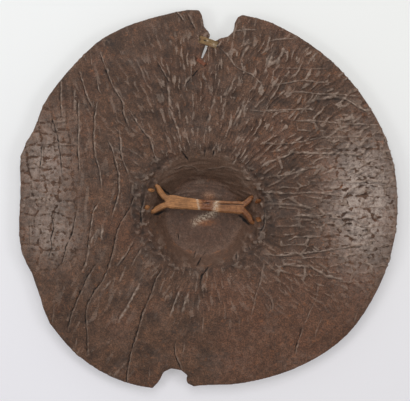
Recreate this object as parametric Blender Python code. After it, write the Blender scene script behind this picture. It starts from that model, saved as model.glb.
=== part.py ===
"""Round hide shield with a hollow boss, a forked rawhide handle and a laced tear.

The shield lies on the flat crown of its boss with the inner side up.
Metres, +Z up from the outer side to the inner side, +Y towards the torn notch.
"""
import math

import bmesh
import bpy
from mathutils import Vector

MM = 0.001
FIT_GAP = 0.0003          # clear space between touching pieces

# The disc of hide
RIM_RADIUS = 0.300
HIDE_THICKNESS = 0.007    # at the boss
RIM_THICKNESS = 0.0045
RIM_ROUND = 0.0015
RIM_DROP = 0.022          # how far the rim lies below the mouth of the boss
RIM_WARP = 0.004          # the disc has dried a little out of true

# The hollow boss, pressed out of the disc
BOSS_CENTRE = (-0.006, -0.019)
BOSS_MOUTH_RADIUS = 0.098
BOSS_FLOOR_RADIUS = 0.059
BOSS_DEPTH = 0.052
BOSS_FULLNESS = 1.5       # higher bends the wall more sharply off the floor
BOSS_LEAN = 0.013         # the crown sits this far towards the lower rim

# Swell of the rim in mm, every 15 degrees round from +X
RIM_SWELL_MM = (2.5, 0, -4.5, -6.5, -6, -4.5, -3, -2, 1, -2, -1.5, 0,
                -3.5, 6.5, 8, 23, 24, 15, -2, 1.5, 7, 12, 8.5, 5.5)
# Dents and swells of the rim: degrees, half width in degrees, height in mm
RIM_DENTS = ((71, 3, 2), (97, 4, 2.5), (126, 5, 1.5), (157.5, 3.2, -6), (169, 3.2, 4),
             (203.5, 3.5, -3.5), (217, 4, 4.5), (276, 5, 2))
# Small broken nicks in the rim: degrees, depth in mm
RIM_NICKS = ((23.3, 2.4), (71.5, 1.8), (155.6, 2.6), (224.4, 2.8))

# What is cut or sewn near the rim is given in mm: x, and how far beyond the rim's radius.
# Notches, drawn from one side of the mouth to the other
TOP_NOTCH_MM = ((-26, 18), (-18, 0), (-12, -4), (-8, -11), (-5, -29), (3, -39), (5, -48),
                (13, -53), (19, -49), (34, -45), (42, -36), (44, -23), (49, -14), (55, -11),
                (70, 18))
BOTTOM_NOTCH_MM = ((-12, 18), (-22, -1), (-31, -5), (-33, -12), (-31, -18), (-41, -26),
                   (-57, -29), (-69, -23), (-74, -12), (-79, -5), (-85, 1), (-90, 18))

# The open tear below the top notch, with its widths
TEAR_MM = ((7, -44, 4.0), (2, -55, 3.0), (-1, -62, 2.4), (-5, -72, 2.0), (-9.5, -83.5, 0.8))

# Stitches over the tear: the middles of the two slits
LACE_SLITS_MM = ((-11.5, -50), (15, -59.5))
LACE_WIDTH = 0.0115
LACE_THICKNESS = 0.0022
STITCH_SLITS_MM = ((-16.5, -81.5), (-2.5, -91.5))
STITCH_WIDTH = 0.0055
STITCH_THICKNESS = 0.0018

# The handle, a rawhide strap split into two legs at each end
HANDLE_DROP = 0.009       # top of the strap below the mouth of the boss
HANDLE_THICKNESS = 0.0055
# The handle is told in mm from the boss: how far a place lies inside the left edge (-1) or
# the right edge (1) of its mouth, or to the right of its middle (0), and how far up from it.
# Middle line and width of the strap: edge, distance inside, up, width
STRAP_MM = ((-1, 37, 12.5, 15), (-1, 42, 12.5, 20), (-1, 52, 11.5, 21.5), (-1, 64, 10, 19.5),
            (-1, 84, 8, 17.5), (0, 6, 6.3, 17), (1, 69, 4, 18.5), (1, 50, 3, 19),
            (1, 40, 2.5, 20), (1, 33, 2, 16))
# Each leg: its edge, then four places on the way to its slit and the knob outside it
LEGS_MM = (
    (-1, ((48, 14), (37, 19.5), (30, 28), (24.5, 36.5), (15.5, 30.5))),
    (-1, ((48, 9.5), (36, 6), (26, 1), (17, -3.5), (9, 2.5))),
    (1, ((46, 6), (34, 8), (27, 13), (20.5, 18.5), (11, 13))),
    (1, ((46, 0.5), (34, -3), (26, -11.5), (19, -21), (10, -16.5))),
)
LEG_WIDTH = 0.0105        # where it leaves the strap
LEG_TIP_WIDTH = 0.0075    # where it enters its slit
LEG_TAIL_WIDTH = 0.005    # outside the hide, on the way to its knob
LEG_THICKNESS = 0.0048
KNOB_WIDTH = 0.0115
KNOB_HEIGHT = 0.0045

# Cracks that show from a step away, in mm, each from end to end
CRACK_WIDTH = 0.0032
CRACK_DEPTH = 0.0018
CRACKS_MM = (
    ((-113, 5), (-128, -25), (-141, -55), (-150, -90), (-160, -120), (-180, -150), (-192, -175),
     (-191, -235), (-190, -256)),
    ((-170, -100), (-190, -120), (-200, -145), (-212, -175), (-220, -212)),
    ((-205, -5), (-212, -50), (-225, -80), (-228, -110)),
    ((-240, -15), (-243, -45), (-247, -100)),
    ((-75, -122), (-90, -155), (-105, -195), (-120, -240), (-129, -284)),
    ((-181, -15), (-188, -70), (-195, -98)),
    ((-120, 133), (-102, 105), (-88, 85), (-82, 66)),
    ((-170, 230), (-158, 200), (-147, 172), (-135, 148), (-131, 128), (-122, 108)),
    ((-202, 200), (-193, 170), (-181, 141)),
    ((-234, 185), (-231, 150), (-228, 128)),
    ((-202, 140), (-203, 95), (-202, 38)),
    ((-247, 135), (-240, 100), (-232, 80), (-230, 55)),
    ((-158, 90), (-147, 65), (-141, 20)),
    ((-13, 205), (-20, 197), (-32, 180)),
    ((84, 140), (110, 135), (160, 141), (210, 135), (255, 130)),
    ((140, 70), (215, 70), (240, 62), (280, 67)),
    ((100, 33), (160, 42), (180, 47)),
    ((125, -70), (200, -60)),
    ((92, -90), (150, -88), (210, -82), (258, -78)),
    ((150, -205), (145, -235)),
)

CUT_REACH = 0.02          # how far a through cut runs past the hide
PUCKERS = 22              # soft gathers round the mouth of the boss
PUCKER_HEIGHT = 0.0013
RAYS = 4 * PUCKERS

MOUTH_HEIGHT = BOSS_DEPTH + HIDE_THICKNESS


def boss_rise(share):
    """Rise of the boss's wall from its floor, 0, to its mouth, 1."""
    return math.sin(math.pi / 2 * min(max(share, 0.0), 1.0)) ** BOSS_FULLNESS


def spline(values, x):
    """A smooth closed curve through equally spaced values; x counts in steps."""
    i = math.floor(x)
    f = x - i
    a, b, c, d = (values[(i + k) % len(values)] for k in (-1, 0, 1, 2))
    return b + 0.5 * f * (c - a + f * (2 * a - 5 * b + 4 * c - d + f * (3 * (b - c) + d - a)))


def smooth_path(points, steps):
    """Points of a smooth open curve through all the given points."""
    out = []
    last = len(points) - 1
    for i in range(last):
        a, b, c, d = (Vector(points[min(max(i + k, 0), last)]) for k in (-1, 0, 1, 2))
        for s in range(steps):
            f = s / steps
            out.append(b + 0.5 * f * (c - a + f * (2 * a - 5 * b + 4 * c - d
                                                   + f * (3 * (b - c) + d - a))))
    out.append(Vector(points[-1]))
    return out


def by_rim(points, end=1):
    """Places in mm on the shield from places told by their distance beyond the rim's radius."""
    return [(x, end * (RIM_RADIUS / MM + beyond), *rest) for x, beyond, *rest in points]


def by_mouth(edge, inside, up):
    """Place in metres from a place told by its distance inside an edge of the boss's mouth."""
    x = edge * (BOSS_MOUTH_RADIUS - inside * MM) if edge else inside * MM
    return BOSS_CENTRE[0] + x, BOSS_CENTRE[1] + up * MM


def rim_radius(angle):
    """Distance of the rim from the middle of the shield."""
    degrees = math.degrees(angle) % 360
    swell = spline(RIM_SWELL_MM, degrees / 15)
    for middle, half, height in RIM_DENTS:
        swell += height * math.exp(-((degrees - middle) / half) ** 2)
    return RIM_RADIUS + swell * MM


def rim_distance(direction):
    """Distance of the rim from the middle of the boss, in a direction."""
    ux, uy = math.cos(direction), math.sin(direction)
    reach = RIM_RADIUS
    for _ in range(12):
        x, y = BOSS_CENTRE[0] + reach * ux, BOSS_CENTRE[1] + reach * uy
        reach += rim_radius(math.atan2(y, x)) - math.hypot(x, y)
    return reach


def floor_distance(direction):
    """Distance of the edge of the boss's flat floor from the middle of its mouth."""
    along = -BOSS_LEAN * math.sin(direction)
    return along + math.sqrt(along * along - BOSS_LEAN ** 2 + BOSS_FLOOR_RADIUS ** 2)


def hide_top(x, y):
    """Height of the inner surface, without the cracks."""
    dx, dy = x - BOSS_CENTRE[0], y - BOSS_CENTRE[1]
    reach, direction = math.hypot(dx, dy), math.atan2(dy, dx)
    if reach <= BOSS_MOUTH_RADIUS:
        floor = floor_distance(direction)
        rise = boss_rise((reach - floor) / (BOSS_MOUTH_RADIUS - floor))
        return HIDE_THICKNESS + BOSS_DEPTH * rise
    out = (reach - BOSS_MOUTH_RADIUS) / (rim_distance(direction) - BOSS_MOUTH_RADIUS)
    warp = 0.6 * math.cos(2 * direction + 0.7) + 0.4 * math.sin(3 * direction + 0.4)
    height = MOUTH_HEIGHT - RIM_DROP * out ** 1.6 + RIM_WARP * warp * out ** 2
    gather = math.sin(math.pi * min(out / 0.5, 1.0)) ** 2
    upper = 0.55 + 0.45 * math.sin(direction)
    return height + PUCKER_HEIGHT * gather * upper * math.cos(PUCKERS * direction)


def hide_normal(x, y, step=0.002):
    """Upward normal of the inner surface."""
    slope_x = (hide_top(x + step, y) - hide_top(x - step, y)) / (2 * step)
    slope_y = (hide_top(x, y + step) - hide_top(x, y - step)) / (2 * step)
    return Vector((-slope_x, -slope_y, 1)).normalized()


def thickness_at(x, y):
    dx, dy = x - BOSS_CENTRE[0], y - BOSS_CENTRE[1]
    span = rim_distance(math.atan2(dy, dx)) - BOSS_MOUTH_RADIUS
    out = min(max((math.hypot(dx, dy) - BOSS_MOUTH_RADIUS) / span, 0), 1)
    return HIDE_THICKNESS + (RIM_THICKNESS - HIDE_THICKNESS) * out


def top_point(x, y):
    return Vector((x, y, hide_top(x, y)))


def under_point(x, y):
    return top_point(x, y) - hide_normal(x, y) * thickness_at(x, y)


def material(name, colour, roughness):
    mat = bpy.data.materials.new(name)
    mat.use_nodes = True
    shader = mat.node_tree.nodes["Principled BSDF"]
    shader.inputs["Base Color"].default_value = (*colour, 1)
    shader.inputs["Roughness"].default_value = roughness
    shader.inputs["Metallic"].default_value = 0
    return mat


def make_object(name, verts, faces, mat=None, smooth_angle=None):
    """A closed mesh object of triangles, with its faces pointing out."""
    mesh = bpy.data.meshes.new(name)
    mesh.from_pydata([tuple(v) for v in verts], [], faces)
    bm = bmesh.new()
    bm.from_mesh(mesh)
    bmesh.ops.recalc_face_normals(bm, faces=bm.faces)
    bmesh.ops.triangulate(bm, faces=bm.faces)
    bm.to_mesh(mesh)
    bm.free()
    obj = bpy.data.objects.new(name, mesh)
    bpy.context.scene.collection.objects.link(obj)
    if mat:
        mesh.materials.append(mat)
    if smooth_angle:
        mesh.shade_smooth()
        mesh.set_sharp_from_angle(angle=math.radians(smooth_angle))
    return obj


def make_cutter(name, verts, faces):
    obj = make_object(name, verts, faces)
    obj.hide_render = True
    obj.display_type = "WIRE"
    return obj


def add_boolean(target, tool, operation):
    modifier = target.modifiers.new(tool.name, "BOOLEAN")
    modifier.operation = operation
    modifier.solver = "EXACT"
    modifier.object = tool


def ring_faces(rings, closed_ends=True, closed_loop=False):
    """Faces of a skin over rings of equally many vertices."""
    count = len(rings[0])
    faces = []
    pairs = list(zip(rings, rings[1:]))
    if closed_loop:
        pairs.append((rings[-1], rings[0]))
    for low, high in pairs:
        for j in range(count):
            k = (j + 1) % count
            faces.append((low[j], low[k], high[k], high[j]))
    if closed_ends and not closed_loop:
        faces += [tuple(rings[0]), tuple(rings[-1])]
    return faces


def hide_mesh():
    """The disc and boss as one skin of rays and rings."""
    top_rings = [("floor", s) for s in (0.5, 1.0)]
    top_rings += [("wall", s) for s in (0.1, 0.22, 0.36, 0.5, 0.65, 0.82, 1.0)]
    top_rings += [("brim", s) for s in (0.06, 0.14, 0.24, 0.35, 0.47, 0.6, 0.73, 0.86, 1.0)]
    under_rings = [("floor", 1.0)] + [("wall", s) for s in (0.1, 0.25, 0.5, 0.75, 1.0)]
    under_rings += [("brim", s) for s in (0.12, 0.3, 0.5, 0.75, 1.0)]
    directions = [2 * math.pi * j / RAYS for j in range(RAYS)]
    rims = [rim_distance(d) for d in directions]

    def place(ring, j):
        kind, share = ring
        floor = floor_distance(directions[j])
        if kind == "floor":
            reach = floor * share
        elif kind == "wall":
            reach = floor + (BOSS_MOUTH_RADIUS - floor) * share
        else:
            reach = BOSS_MOUTH_RADIUS + (rims[j] - RIM_ROUND - BOSS_MOUTH_RADIUS) * share
        return (BOSS_CENTRE[0] + reach * math.cos(directions[j]),
                BOSS_CENTRE[1] + reach * math.sin(directions[j]))

    verts = [top_point(*BOSS_CENTRE)]
    rings = []
    for ring in top_rings:
        rings.append(list(range(len(verts), len(verts) + RAYS)))
        verts += [top_point(*place(ring, j)) for j in range(RAYS)]
    rings.append(list(range(len(verts), len(verts) + RAYS)))
    for j, direction in enumerate(directions):
        x, y = place(("brim", 1.0), j)
        edge = (top_point(x, y) + under_point(x, y)) / 2
        verts.append(edge + Vector((math.cos(direction), math.sin(direction), 0)) * RIM_ROUND)
    for ring in reversed(under_rings):
        rings.append(list(range(len(verts), len(verts) + RAYS)))
        verts += [under_point(*place(ring, j)) for j in range(RAYS)]
    faces = ring_faces(rings, closed_ends=False)
    verts.append(Vector((BOSS_CENTRE[0], BOSS_CENTRE[1], 0)))
    for j in range(RAYS):
        k = (j + 1) % RAYS
        faces.append((0, rings[0][k], rings[0][j]))
        faces.append((len(verts) - 1, rings[-1][j], rings[-1][k]))
    return verts, faces


def upright_cutter(name, outline):
    """A prism through the disc over an outline in mm."""
    ends = (-CUT_REACH, MOUTH_HEIGHT + CUT_REACH)
    verts = [Vector((x * MM, y * MM, z)) for z in ends for x, y in outline]
    count = len(outline)
    return make_cutter(name, verts, ring_faces([list(range(count)), list(range(count, 2 * count))]))


def tear_outline():
    """Both sides of the tear, from the notch down to its tip and back."""
    tear = by_rim(TEAR_MM)
    left, right = [], []
    for i, (x, y, width) in enumerate(tear):
        x0, y0, _ = tear[max(i - 1, 0)]
        x1, y1, _ = tear[min(i + 1, len(tear) - 1)]
        run = Vector((x1 - x0, y1 - y0)).normalized()
        side = Vector((-run.y, run.x)) * width / 2
        left.append((x + side.x, y + side.y))
        right.append((x - side.x, y - side.y))
    return left + right[::-1]


def crack_cutter(name, cracks):
    """Wedges laid along the cracks, each fading out at both ends."""
    above = 0.003
    verts, faces = [], []
    for crack in cracks:
        path = [p * MM for p in smooth_path([(x, y, 0) for x, y in crack], 2)]
        rings = []
        for i, p in enumerate(path):
            run = (path[min(i + 1, len(path) - 1)] - path[max(i - 1, 0)]).normalized()
            side = Vector((-run.y, run.x, 0))
            ends = i in (0, len(path) - 1)
            depth = -0.0005 if ends else CRACK_DEPTH
            slope = CRACK_WIDTH / 2 / CRACK_DEPTH
            half = slope * (above + depth)
            surface = top_point(p.x, p.y)
            rings.append(list(range(len(verts), len(verts) + 3)))
            verts += [surface + side * half + Vector((0, 0, above)),
                      surface - side * half + Vector((0, 0, above)),
                      surface - Vector((0, 0, depth))]
        faces += ring_faces(rings)
    return make_cutter(name, verts, faces)


def strip(stations, side, grow=0.0, sides=8):
    """A flat strip swept along stations of (place, width, thickness)."""
    if sides == 8:
        section = ((1, 0.4), (0.75, 1), (-0.75, 1), (-1, 0.4),
                   (-1, -0.4), (-0.75, -1), (0.75, -1), (1, -0.4))
    elif sides == 6:
        section = ((1, 0), (0.6, 1), (-0.6, 1), (-1, 0), (-0.6, -1), (0.6, -1))
    else:
        section = ((1, 1), (-1, 1), (-1, -1), (1, -1))
    side = Vector(side)
    verts, rings = [], []
    last = len(stations) - 1
    for i, (place, width, thickness) in enumerate(stations):
        run = (stations[min(i + 1, last)][0] - stations[max(i - 1, 0)][0]).normalized()
        side = (side - run * side.dot(run)).normalized()
        up = run.cross(side)
        rings.append(list(range(len(verts), len(verts) + len(section))))
        for a, b in section:
            verts.append(place + side * a * (width / 2 + grow) + up * b * (thickness / 2 + grow))
    return verts, ring_faces(rings)


def strap_stations():
    height = MOUTH_HEIGHT - HANDLE_DROP - HANDLE_THICKNESS / 2
    places = [(*by_mouth(edge, inside, up), width * MM) for edge, inside, up, width in STRAP_MM]
    return [(Vector((p.x, p.y, height)), p.z, HANDLE_THICKNESS) for p in smooth_path(places, 2)]


def leg_stations(leg):
    """A leg runs to its slit, through the wall, across outside and back in as a knob."""
    strap_height = MOUTH_HEIGHT - HANDLE_DROP - HANDLE_THICKNESS / 2
    edge, told = leg
    (x0, y0), (x1, y1), (x2, y2), slit, knob = [by_mouth(edge, *place) for place in told]
    entry, leave = top_point(*slit), top_point(*knob)
    entry_in, leave_in = hide_normal(*slit), hide_normal(*knob)
    outside = HIDE_THICKNESS + LEG_THICKNESS / 2 + 2 * FIT_GAP
    meet = entry + entry_in * LEG_THICKNESS / 2
    places = [Vector((x0, y0, strap_height)), Vector((x1, y1, strap_height)),
              Vector((x2, y2, strap_height + 0.45 * (meet.z - strap_height))),
              meet, entry - entry_in * outside, leave - leave_in * outside,
              leave + leave_in * KNOB_HEIGHT]
    widths = (LEG_WIDTH, LEG_WIDTH, LEG_WIDTH, LEG_TIP_WIDTH, LEG_TAIL_WIDTH, LEG_TAIL_WIDTH,
              KNOB_WIDTH)
    steps = 3
    path = smooth_path(places, steps)
    stations = []
    for i, p in enumerate(path):
        k, f = divmod(i / steps, 1)
        k = int(k)
        width = widths[k] + (widths[min(k + 1, len(widths) - 1)] - widths[k]) * f
        stations.append((p, width, LEG_THICKNESS))
    return stations


def stitch_band(slits, width, thickness):
    """A closed band down one slit, under the hide and up the other."""
    a, b = (Vector((x, y, 0)) for x, y in slits)
    run = (b - a).normalized()
    side = Vector((-run.y, run.x, 0)) * width / 2
    # place of the inner skin, step from it to the outer skin, and over or under the hide
    corners = [(a + run * thickness / 2, -run, 1), ((a + b) / 2, Vector(), 1),
               (b - run * thickness / 2, run, 1), (b - run * thickness / 2, run, -1),
               ((a + b) / 2, Vector(), -1), (a + run * thickness / 2, -run, -1)]
    verts, rings = [], []
    for place, step, over in corners:
        rings.append(list(range(len(verts), len(verts) + 4)))
        for across, outer in ((-1, 0), (1, 0), (1, 1), (-1, 1)):
            p = place + side * across + step * thickness * outer
            skin = hide_top(p.x, p.y) if over > 0 else under_point(p.x, p.y).z
            p.z = skin + over * (2 * FIT_GAP + thickness * outer)
            verts.append(p)
    return verts, ring_faces(rings, closed_loop=True)


def make_stitch(name, slits_mm, width, thickness, mat, hide):
    slits = [(x * MM, y * MM) for x, y in by_rim(slits_mm)]
    (ax, ay), (bx, by) = slits
    run = Vector((bx - ax, by - ay, 0)).normalized()
    side = Vector((-run.y, run.x, 0))
    make_object(name, *stitch_band(slits, width, thickness), mat, 30)
    for i, slit in enumerate(slits):
        tall = [(Vector((slit[0], slit[1], z)), width, thickness) for z in (0, MOUTH_HEIGHT + CUT_REACH)]
        cutter = make_cutter("%s_slit_%d" % (name, i + 1), *strip(tall, side, grow=FIT_GAP, sides=4))
        add_boolean(hide, cutter, "DIFFERENCE")


def make_nicks(name):
    """Small wedges that break the rim."""
    verts, faces = [], []
    for degrees, depth in RIM_NICKS:
        angle = math.radians(degrees)
        out = Vector((math.cos(angle), math.sin(angle), 0))
        side = Vector((-out.y, out.x, 0))
        tip = out * (rim_radius(angle) - depth * MM)
        mouth = out * (rim_radius(angle) + 4 * MM)
        start = len(verts)
        for z in (0, MOUTH_HEIGHT):
            lift = Vector((0, 0, z))
            verts += [tip + lift, mouth + side * 1.6 * depth * MM + lift, mouth - side * 1.1 * depth * MM + lift]
        faces += ring_faces([list(range(start, start + 3)), list(range(start + 3, start + 6))])
    return make_cutter(name, verts, faces)


def centre_on_origin(hide):
    """Stand everything under an empty that puts the middle of the outline at the origin."""
    corners = hide.evaluated_get(bpy.context.evaluated_depsgraph_get()).bound_box
    xs, ys, _ = zip(*(tuple(corner) for corner in corners))
    holder = bpy.data.objects.new("shield", None)
    bpy.context.scene.collection.objects.link(holder)
    holder.location = (-(min(xs) + max(xs)) / 2, -(min(ys) + max(ys)) / 2, 0)
    for obj in bpy.context.scene.objects:
        if obj.type == "MESH":
            obj.parent = holder


def main():
    for obj in list(bpy.data.objects):
        bpy.data.objects.remove(obj, do_unlink=True)
    hide_mat = material("hide", (0.105, 0.063, 0.045), 0.6)
    rawhide_mat = material("handle_rawhide", (0.27, 0.135, 0.065), 0.5)
    lace_mat = material("lace_rawhide", (0.20, 0.125, 0.05), 0.5)
    stitch_mat = material("stitch_rawhide", (0.17, 0.065, 0.035), 0.55)

    hide = make_object("hide", *hide_mesh(), hide_mat, 35)
    add_boolean(hide, upright_cutter("top_notch_cut", by_rim(TOP_NOTCH_MM)), "DIFFERENCE")
    lower_notch = by_rim(BOTTOM_NOTCH_MM, -1)
    add_boolean(hide, upright_cutter("bottom_notch_cut", lower_notch), "DIFFERENCE")
    add_boolean(hide, upright_cutter("tear_cut", tear_outline()), "DIFFERENCE")
    add_boolean(hide, make_nicks("rim_nick_cut"), "DIFFERENCE")
    add_boolean(hide, crack_cutter("crack_cut", CRACKS_MM), "DIFFERENCE")

    handle = make_object("handle", *strip(strap_stations(), (0, 1, 0)), rawhide_mat, 40)
    for i, leg in enumerate(LEGS_MM):
        stations = leg_stations(leg)
        run = stations[1][0] - stations[0][0]
        side = (-run.y, run.x, 0)
        tool = make_cutter("leg_%d" % (i + 1), *strip(stations, side, sides=6))
        add_boolean(handle, tool, "UNION")
        cut = make_cutter("leg_slit_%d" % (i + 1), *strip(stations, side, grow=FIT_GAP, sides=6))
        add_boolean(hide, cut, "DIFFERENCE")

    make_stitch("tear_lace", LACE_SLITS_MM, LACE_WIDTH, LACE_THICKNESS, lace_mat, hide)
    make_stitch("tear_stitch", STITCH_SLITS_MM, STITCH_WIDTH, STITCH_THICKNESS, stitch_mat, hide)
    centre_on_origin(hide)


main()
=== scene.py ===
import math

import bmesh
import bpy
import numpy as np
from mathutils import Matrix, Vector


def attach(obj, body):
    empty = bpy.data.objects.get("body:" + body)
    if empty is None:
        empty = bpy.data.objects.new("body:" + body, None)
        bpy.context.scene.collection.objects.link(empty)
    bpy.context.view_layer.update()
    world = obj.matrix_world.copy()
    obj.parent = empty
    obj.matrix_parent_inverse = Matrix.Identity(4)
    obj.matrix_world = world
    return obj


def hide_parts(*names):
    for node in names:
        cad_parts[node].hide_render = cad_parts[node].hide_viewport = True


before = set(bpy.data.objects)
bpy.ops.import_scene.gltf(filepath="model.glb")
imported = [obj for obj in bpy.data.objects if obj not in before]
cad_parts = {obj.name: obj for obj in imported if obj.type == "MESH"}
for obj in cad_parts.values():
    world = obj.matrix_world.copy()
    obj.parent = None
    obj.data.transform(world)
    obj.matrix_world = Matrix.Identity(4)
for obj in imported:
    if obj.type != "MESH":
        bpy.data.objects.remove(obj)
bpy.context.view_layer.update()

bl_info = {
    "name": "Hide shield",
    "version": (1, 0, 0),
    "blender": (4, 5, 0),
    "location": "View3D > Sidebar > Shield",
    "description": "Finishes a round hide shield with its rawhide handle and stitches",
    "category": "Object",
}

MM = 0.001
TO_MM = 1000.0

# Places in the tables below are millimetres on the shield, seen from its inner side.
# Their middle lies this far, in metres, from the middle of the outline.
DRAWN_MIDDLE = (-0.0020, 0.0027)

# Middle and radius of the boss's mouth
BOSS_MIDDLE = (-6.0, -19.0)
BOSS_MOUTH = 98.0

# Kinds of line in the hide: how dark the crack is, a painted shade with its dirt, how light its lip
# or ridge is, a painted highlight on its worn crest, and its breadth
CRACK = (1.1, 0.55, 1.1)
LIPPED = (0.85, 0.95, 1.2)
RIDGE = (0.4, 1.0, 1.7)
THIN = (0.3, 0.9, 1.1)
FAINT = (0.35, 0.45, 1.0)
SLIT = (1.5, 0.2, 1.5)
# painted shadow that the legs of the handle cast on the hide
GAP_SHADOW = (1.6, 0.0, 2.4)

# Where the crack and the lip lie across a line, and how far a line reaches, in breadths
CRACK_AT = -0.7
LIP_AT = 1.0
LINE_REACH = 6.0

# A line that runs this way has its lip on its left-hand side, and one against it on its right, so
# that every lip, with its painted highlight, lies towards the top of the shield and a little to the
# right, taken as the lit side
LIT_WAY = (0.87, -0.5)

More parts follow.
